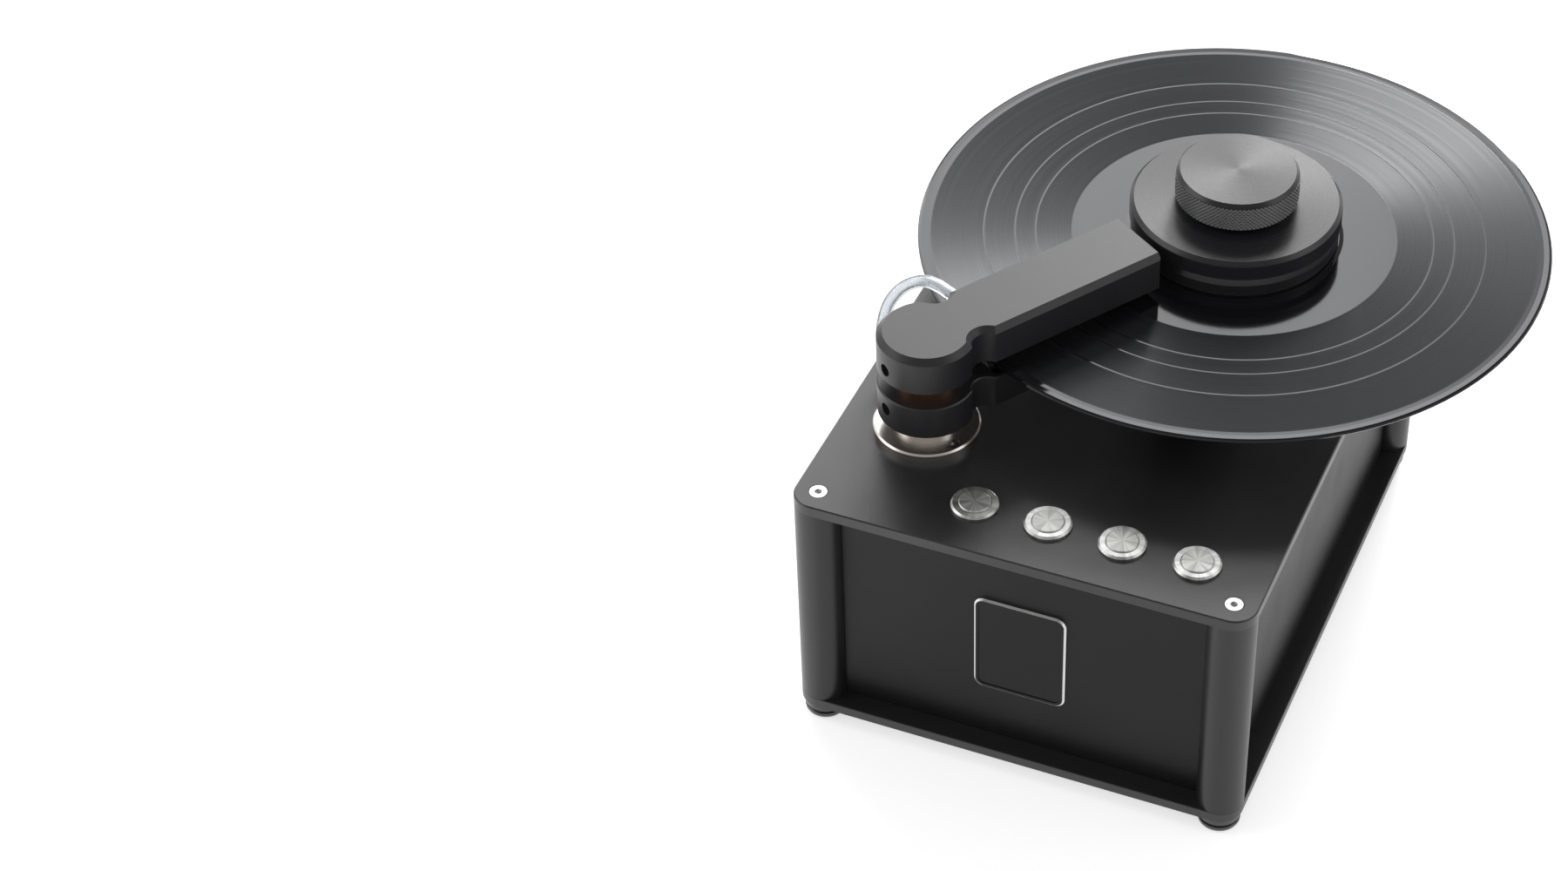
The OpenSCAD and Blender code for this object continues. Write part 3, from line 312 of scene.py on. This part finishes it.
def button_metal(name, base, rough):
    """Spun metal with fine turned rings, painted glints out from each button's centre, and
    painted shade in the gap round its cap.
    """
    c = Mat(name, base, 1.0, rough)
    x, y, _ = c.xyz(c.coords())
    first = centre("button_cap_1")
    pitch = centre("button_cap_2").x - first.x
    step = c.math("DIVIDE", c.math("SUBTRACT", x, first.x), pitch)
    button = c.math("ROUND", step)
    dx = c.math("MULTIPLY", c.math("SUBTRACT", step, button), pitch)
    dy = c.math("SUBTRACT", y, first.y)
    radius_mm = c.math("MULTIPLY", c.hypot(dx, dy), 1000.0)
    turn = c.math("ARCTAN2", dy, dx)
    # Painted highlight: lighter colour streaks out from each button's centre stand in for glints;
    # the fine rings are real turning marks
    painted_glint = c.line_noise(c.math("ADD", turn, c.math("MULTIPLY", button, 1.7)), 1.6, 4)
    rings = c.line_noise(radius_mm, 6.0, 2)
    both = c.math("ADD", c.math("MULTIPLY", painted_glint, 0.75), c.math("MULTIPLY", rings, 0.25))
    # Painted shade: the colour drops to half in a thin ring where the cap meets its bezel
    outside_gap_shade = c.mapped(c.away(radius_mm, BUTTON_GAP_SHADE_MM), *BUTTON_GAP_SHADE_FADE_MM, 0.0, 1.0)
    painted_glint_and_gap_shade = c.math("MULTIPLY", c.mapped(both, 0.36, 0.64, 0.0, 1.0, True), outside_gap_shade)
    c.colour_from(painted_glint_and_gap_shade, [v * 0.5 for v in base], base, 0.0, 1.0)
    c.rough_from(both, rough - 0.06, rough + 0.06)
    c.bump(rings, 0.000008, 0.5)
    return c


def record_material():
    """Grooved bands with wide and fine rings; smooth between tracks, at the rim and inside."""
    v = Mat("pressed_vinyl", (0.006, 0.006, 0.007), rough=0.1, IOR=1.48)
    v.across_rings(1.0)
    radius_mm = v.math("MULTIPLY", v.radius(HUB), 1000.0)
    inside = v.mapped(radius_mm, *GROOVES_START_MM, 0, 1, True)
    outside = v.mapped(radius_mm, *GROOVES_END_MM, 1, 0, True)
    band = v.math("MULTIPLY", inside, outside)
    for gap, half in TRACK_GAPS_MM:
        off = v.away(radius_mm, gap)
        band = v.math("MULTIPLY", band, v.mapped(off, half, half + TRACK_GAP_FADE_MM, 0, 1, True))
    wide = v.line_noise(radius_mm, 0.35, 2)
    fine = v.line_noise(radius_mm, 2.2, 3)
    rings = v.math("ADD", v.math("MULTIPLY", wide, 0.5), v.math("MULTIPLY", fine, 0.5))
    v.shade("Roughness", v.mix_value(band, 0.06, v.mapped(rings, 0.35, 0.65, 0.34, 0.42)))
    fine_range = v.mapped(fine, 0.35, 0.65, 0, 1)
    grooved = v.mix_colour(fine_range, (0.46, 0.48, 0.52, 1), (0.78, 0.80, 0.84, 1))
    v.shade("Specular Tint", v.mix_colour(band, (0.97, 0.98, 1.0, 1), grooved))
    v.colour_from(rings, (0.004, 0.004, 0.005), (0.012, 0.012, 0.014))
    return v


def rubber():
    r = Mat("black_rubber", (0.012, 0.012, 0.012), rough=0.62)
    r.bump(r.noise(1800, 4), 0.00006, 0.5)
    r.rough_from(r.noise(300, 2), 0.55, 0.7)
    return r


def moulded():
    m = Mat("moulded_black", (0.018, 0.018, 0.018), rough=0.5)
    m.bump(m.noise(2500, 3), 0.00005, 0.4)
    m.rough_from(m.noise(200, 2), 0.44, 0.56)
    return m


def velvet():
    v = Mat("velvet_pile", (0.006, 0.006, 0.007), rough=0.95, Sheen_Weight=0.35,
            Sheen_Roughness=0.5, Specular_IOR_Level=0.1)
    v.bump(v.noise(5000, 4), 0.0003, 0.8)
    v.colour_from(v.noise(1500, 3), (0.003, 0.003, 0.0035), (0.012, 0.012, 0.013))
    return v


def tank_plastic():
    t = Mat("tank_plastic", (0.62, 0.66, 0.68), rough=0.38)
    t.bump(t.noise(400, 2), 0.0001, 0.3)
    t.rough_from(t.noise(90, 2), 0.33, 0.45)
    return t


def circuit_board():
    b = Mat("board_green", (0.012, 0.09, 0.04), rough=0.4)
    b.colour_from(b.noise(240, 1), (0.010, 0.07, 0.032), (0.02, 0.12, 0.055))
    return b


def silicone():
    s = Mat("milky_silicone", (0.93, 0.95, 0.97), rough=0.24, Transmission_Weight=0.8, IOR=1.25)
    s.rough_from(s.noise(350, 2), 0.25, 0.38)
    s.colour_from(s.noise(90, 2), (0.88, 0.92, 0.96), (0.95, 0.97, 0.99))
    return s


M = {
    "plate": anodised("anodised_plate", (0.018, 0.018, 0.019), 0.34, ior=1.57),
    "panel": anodised("satin_panel", (0.007, 0.007, 0.0075), 0.40, spec=0.18),
    "arm": anodised("anodised_arm", (0.014, 0.014, 0.016), 0.36, ior=1.52),
    "post": turned("turned_post", (0.010, 0.010, 0.0105), 0.33, IOR=1.50),
    "clamp": turned("turned_clamp", (0.015, 0.015, 0.017), 0.27, HUB, aniso=0.35, IOR=1.50),
    "chrome": turned("polished_nickel", (0.74, 0.70, 0.65), 0.24, metallic=1.0,
                     ring=5000, depth=0.000005),
    "screw": turned("screw_steel", (0.66, 0.66, 0.66), 0.24, metallic=1.0, depth=0.000008),
    "steel": turned("plain_steel", (0.48, 0.48, 0.48), 0.32, metallic=1.0),
    "foot": turned("turned_foot", (0.020, 0.020, 0.021), 0.18, IOR=1.7),
    "bronze": turned("bronze_bush", (0.56, 0.30, 0.17), 0.2, metallic=1.0),
    # Bezels and caps carry painted glints and painted gap shade in their colour
    "bezel": button_metal("bright_bezel", (0.76, 0.76, 0.74), 0.34),
    "cap": button_metal("turned_cap", (0.74, 0.74, 0.71), 0.42),
    "knurl": turned("knurled_grip", (0.045, 0.045, 0.048), 0.3, IOR=1.75),
    "badge": plaque("plaque_black", "front_badge", PLAQUE_CORNER, PLAQUE_RIM),
    "rubber": rubber(),
    "mould": moulded(),
    "velvet": velvet(),
    "tank": tank_plastic(),
    "board": circuit_board(),
    "silicone": silicone(),
    "record": record_material(),
}

DRESSED = {
    "plate": ["top_plate", "bottom_plate"],
    "panel": ["front_panel", "rear_panel", "left_panel", "right_panel"],
    "post": ["corner_posts"],
    "arm": ["lower_arm", "upper_arm", "arm_end_plate", "brush_holder"],
    "clamp": ["platter", "hub_bearing", "clamp_disc", "clamp_ring", "clamp_knob"],
    "chrome": ["tower_flange", "lower_hose_barb", "upper_hose_barb", "lower_lip_rails",
               "upper_lip_rails", "thumb_screw"],
    "bezel": ["button_bezels"],
    "badge": ["front_badge"],
    "cap": ["button_cap_1", "button_cap_2", "button_cap_3", "button_cap_4"],
    "screw": ["plate_screws", "flange_screws", "upper_arm_screws", "lower_arm_screw"],
    "steel": ["button_nuts", "tower_nut", "tower_shaft", "spindle", "drive_motor", "fluid_pump",
              "power_supply", "drain_spigot"],
    "foot": ["feet"],
    "bronze": ["bronze_bush"],
    "rubber": ["foot_pads", "platter_seal", "clamp_seal", "drive_belt", "hose_grommets"],
    "mould": ["suction_manifold", "platter_pulley", "motor_pulley", "vacuum_blower",
              "inlet_socket"],
    "velvet": ["lower_arm_lips", "upper_arm_lips"],
    "tank": ["fluid_tank", "waste_tank"],
    "board": ["control_board"],
    "silicone": ["lower_arm_hose", "upper_arm_hose"],
    "record": ["record"],
}
for key, names in DRESSED.items():
    for name in names:
        for material_slot in NODES[name].material_slots:
            material_slot.material = M[key].material


def as_object(name, bm, material):
    """Turn a bmesh into an object of the scene that wears one material."""
    mesh = bpy.data.meshes.new(name)
    bm.to_mesh(mesh)
    bm.free()
    obj = bpy.data.objects.new(name, mesh)
    bpy.context.scene.collection.objects.link(obj)
    mesh.materials.append(material.material)
    return obj


# Hoses


def spline(points, steps):
    """A smooth path through points given in mm, as points in metres."""
    p = [np.array(q, float) for q in points]
    out = []
    for i in range(len(p) - 1):
        a, b, c, d = p[max(i - 1, 0)], p[i], p[i + 1], p[min(i + 2, len(p) - 1)]
        for k in range(steps):
            t = k / steps
            square = (2 * a - 5 * b + 4 * c - d) * t * t
            cube = (3 * b - a - 3 * c + d) * t**3
            out.append(0.5 * (2 * b + (c - a) * t + square + cube))
    out.append(p[-1])
    return [on_plate(*q) for q in out]


def tube(name, path, radius, bore, material, sides=32):
    """An open-ended pipe along a path, with its bore and both end faces."""
    bm = bmesh.new()
    side = Vector((0.1, 0.2, 1))
    rings = []
    for i, p in enumerate(path):
        d = (path[min(i + 1, len(path) - 1)] - path[max(i - 1, 0)]).normalized()
        side = (side - side.dot(d) * d).normalized()
        other = d.cross(side)
        rings.append([
            [bm.verts.new(p + r * (math.cos(a) * side + math.sin(a) * other))
             for a in (2 * math.pi * k / sides for k in range(sides))]
            for r in (radius, bore)
        ])
    for near, far in zip(rings, rings[1:]):
        for k in range(sides):
            j = (k + 1) % sides
            bm.faces.new((near[0][k], near[0][j], far[0][j], far[0][k]))
            bm.faces.new((near[1][j], near[1][k], far[1][k], far[1][j]))
    for (outer, inner), flip in ((rings[0], False), (rings[-1], True)):
        for k in range(sides):
            j = (k + 1) % sides
            face = (outer[j], outer[k], inner[k], inner[j])
            bm.faces.new(face[::-1] if flip else face)
    bmesh.ops.recalc_face_normals(bm, faces=bm.faces)
    for f in bm.faces:
        f.smooth = True
    return as_object(name, bm, material)


def at_arm(u, v, z):
    """A point in mm: u along the arm from the tower, v to its side, z above the plate."""
    return (
        TOWER_MM.x + u * ARM_DIR.x + v * ARM_SIDE.x,
        TOWER_MM.y + u * ARM_DIR.y + v * ARM_SIDE.y,
        z,
    )


def towards_side(p, d):
    return (p[0] + d * ARM_SIDE.x, p[1] + d * ARM_SIDE.y, p[2])


LOWER_TIP = at_arm(32, 27.7, 24)
UPPER_TIP = at_arm(30.5, 21.7, 48.12)
LOWER_PATH = [
    LOWER_TIP, towards_side(LOWER_TIP, 1), towards_side(LOWER_TIP, 2),
    (28, 112, 22), (22.5, 109.5, 19), (17.5, 106, 15.5), (14, 103, 11), (14, 102.5, 6),
    (15.9, 102.8, 1), (15.9, 102.8, -2), (15.9, 102.8, -4),
]
UPPER_PATH = [
    UPPER_TIP, towards_side(UPPER_TIP, 1.5), towards_side(UPPER_TIP, 3),
    (28, 113, 48), (20.5, 115, 46.5), (12.5, 113.5, 42.5), (7, 111.5, 36), (4, 109, 28),
    (4, 104, 19), (7.5, 98, 11.5), (12.5, 93.5, 6.5), (16.5, 92, 1.5), (16.5, 92, -2),
    (16.5, 92, -4),
]

lower_route = spline(LOWER_PATH, HOSE_STEPS)
upper_route = spline(UPPER_PATH, HOSE_STEPS)
lower_hose = tube("lower_hose_tube", lower_route, HOSE_RADIUS, HOSE_BORE, M["silicone"])
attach(lower_hose, "housing")
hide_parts("lower_arm_hose")
upper_hose = tube("upper_hose_tube", upper_route, HOSE_RADIUS, HOSE_BORE, M["silicone"])
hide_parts("upper_arm_hose")
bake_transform(upper_hose)

# Knurled grip of the clamp's knob


def knurled_sleeve(name, axis, low, high, inner, root, crest, count, rows, material):
    """A ring whose outside alternates between crest and root, as a diamond knurl."""
    n = 2 * count
    bm = bmesh.new()

    def ring(z, radii):
        return [
            bm.verts.new((axis.x + r * math.cos(math.pi * i / count),
                          axis.y + r * math.sin(math.pi * i / count), z))
            for i, r in enumerate(radii)
        ]

    outer = [
        ring(low + (high - low) * j / rows, [root if (i + j) % 2 else crest for i in range(n)])
        for j in range(rows + 1)
    ]
    bottom, top = (ring(z, [inner] * n) for z in (low, high))
    for i in range(n):
        k = (i + 1) % n
        for j in range(rows):
            a, b, c, d = outer[j][i], outer[j][k], outer[j + 1][k], outer[j + 1][i]
            halves = ((a, b, d), (b, c, d)) if (i + j) % 2 == 0 else ((a, b, c), (a, c, d))
            for face in halves:
                bm.faces.new(face)
        bm.faces.new((outer[0][k], outer[0][i], bottom[i], bottom[k]))
        bm.faces.new((outer[rows][i], outer[rows][k], top[k], top[i]))
        bm.faces.new((bottom[k], bottom[i], top[i], top[k]))
    bmesh.ops.recalc_face_normals(bm, faces=bm.faces)
    return as_object(name, bm, material)


_, knob_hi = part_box("clamp_knob")
grip_top = knob_hi.z - GRIP_BELOW_TOP
grip = knurled_sleeve(
    "knob_grip", HUB, grip_top - GRIP_HEIGHT, grip_top - GRIP_SHY,
    GRIP_INNER, GRIP_ROOT, GRIP_CREST, GRIP_RIDGES, GRIP_ROWS, M["knurl"])
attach(grip, "knob")

# Camera

cam_data = bpy.data.cameras.new("camera")
cam = bpy.data.objects.new("camera", cam_data)
bpy.context.scene.collection.objects.link(cam)
camera_back = CAMERA_RIGHT.cross(CAMERA_UP)
placed = Matrix((CAMERA_RIGHT, CAMERA_UP, camera_back)).transposed().to_4x4()
placed.translation = on_plate(*CAMERA_PLACE_MM)
cam.matrix_world = placed
cam_data.sensor_width = CAMERA_SENSOR_MM
cam_data.lens = CAMERA_LENS_MM
cam_data.shift_x, cam_data.shift_y = CAMERA_SHIFT
cam_data.clip_start, cam_data.clip_end = CAMERA_CLIP
bpy.context.scene.camera = cam

# Floor: pale, with a glow that only camera, glossy and transmission rays see

floor_mesh = bpy.data.meshes.new("floor")
signs = ((-1, -1), (1, -1), (1, 1), (-1, 1))
floor_corners = [(x * FLOOR_HALF, y * FLOOR_HALF, 0) for x, y in signs]
floor_mesh.from_pydata(floor_corners, [], [(0, 1, 2, 3)])
floor = bpy.data.objects.new("floor", floor_mesh)
bpy.context.scene.collection.objects.link(floor)
floor_material = bpy.data.materials.new("pale_floor")
floor_material.use_nodes = True
floor_tree = Tree(floor_material.node_tree)
floor_tree.nt.nodes.clear()
surface = floor_tree.node("ShaderNodeOutputMaterial").inputs["Surface"]
diffuse = floor_tree.node("ShaderNodeBsdfDiffuse")
diffuse.inputs["Color"].default_value = (FLOOR_GREY, FLOOR_GREY, FLOOR_GREY, 1)
glow = floor_tree.node("ShaderNodeEmission")
glow.inputs["Color"].default_value = (1, 1, 1, 1)
glow.inputs["Strength"].default_value = FLOOR_GLOW
no_glow = floor_tree.node("ShaderNodeEmission")
no_glow.inputs["Strength"].default_value = 0.0
rays = floor_tree.node("ShaderNodeLightPath").outputs
seen = floor_tree.math("MAXIMUM", rays["Is Camera Ray"], rays["Is Glossy Ray"])
seen = floor_tree.math("MAXIMUM", seen, rays["Is Transmission Ray"])
pick = floor_tree.node("ShaderNodeMixShader")
for value, i in ((seen, 0), (no_glow.outputs[0], 1), (glow.outputs[0], 2)):
    floor_tree.put(value, pick.inputs[i])
both = floor_tree.node("ShaderNodeAddShader")
floor_tree.put(diffuse.outputs[0], both.inputs[0])
floor_tree.put(pick.outputs[0], both.inputs[1])
floor_tree.put(both.outputs[0], surface)
floor_mesh.materials.append(floor_material)

# World: it gives all the light, and the camera sees it white

world = bpy.data.worlds.new("studio")
bpy.context.scene.world = world
world.use_nodes = True
sky = Tree(world.node_tree)
sky_x, sky_y, sky_z = sky.xyz(sky.node("ShaderNodeTexCoord").outputs["Generated"])
DEGREES = 180 / math.pi
elevation = sky.math("MULTIPLY", sky.math("ARCSINE", sky_z), DEGREES)


def soft_panel(az, el, half_az, half_el, soft_az, soft_el, radiance):
    """A soft-edged bright panel, in degrees; azimuth is counter-clockwise from +X."""
    turn = math.radians(az)
    across = sky.math("SUBTRACT", sky.math("MULTIPLY", sky_y, math.cos(turn)),
                      sky.math("MULTIPLY", sky_x, math.sin(turn)))
    along = sky.math("ADD", sky.math("MULTIPLY", sky_x, math.cos(turn)),
                     sky.math("MULTIPLY", sky_y, math.sin(turn)))
    off_az = sky.math("MULTIPLY", sky.math("ARCTAN2", across, along), DEGREES)
    off_az = sky.math("ABSOLUTE", off_az)
    off_el = sky.away(elevation, el)
    return sky.math(
        "MULTIPLY",
        sky.mapped(off_az, half_az - soft_az, half_az + soft_az, radiance, 0.0, True),
        sky.mapped(off_el, half_el - soft_el, half_el + soft_el, 1.0, 0.0, True),
    )


light = sky.mapped(elevation, *SKY_ELEVATIONS, *SKY_RADIANCES, True)
for panel in PANELS:
    light = sky.math("ADD", light, soft_panel(*panel))
background = sky.nt.nodes["Background"]
background.inputs["Color"].default_value = (1, 1, 1, 1)
camera_ray = sky.node("ShaderNodeLightPath").outputs["Is Camera Ray"]
sky.put(sky.mix_value(camera_ray, light, 1.0), background.inputs["Strength"])

bpy.context.scene.view_settings.view_transform = "Standard"
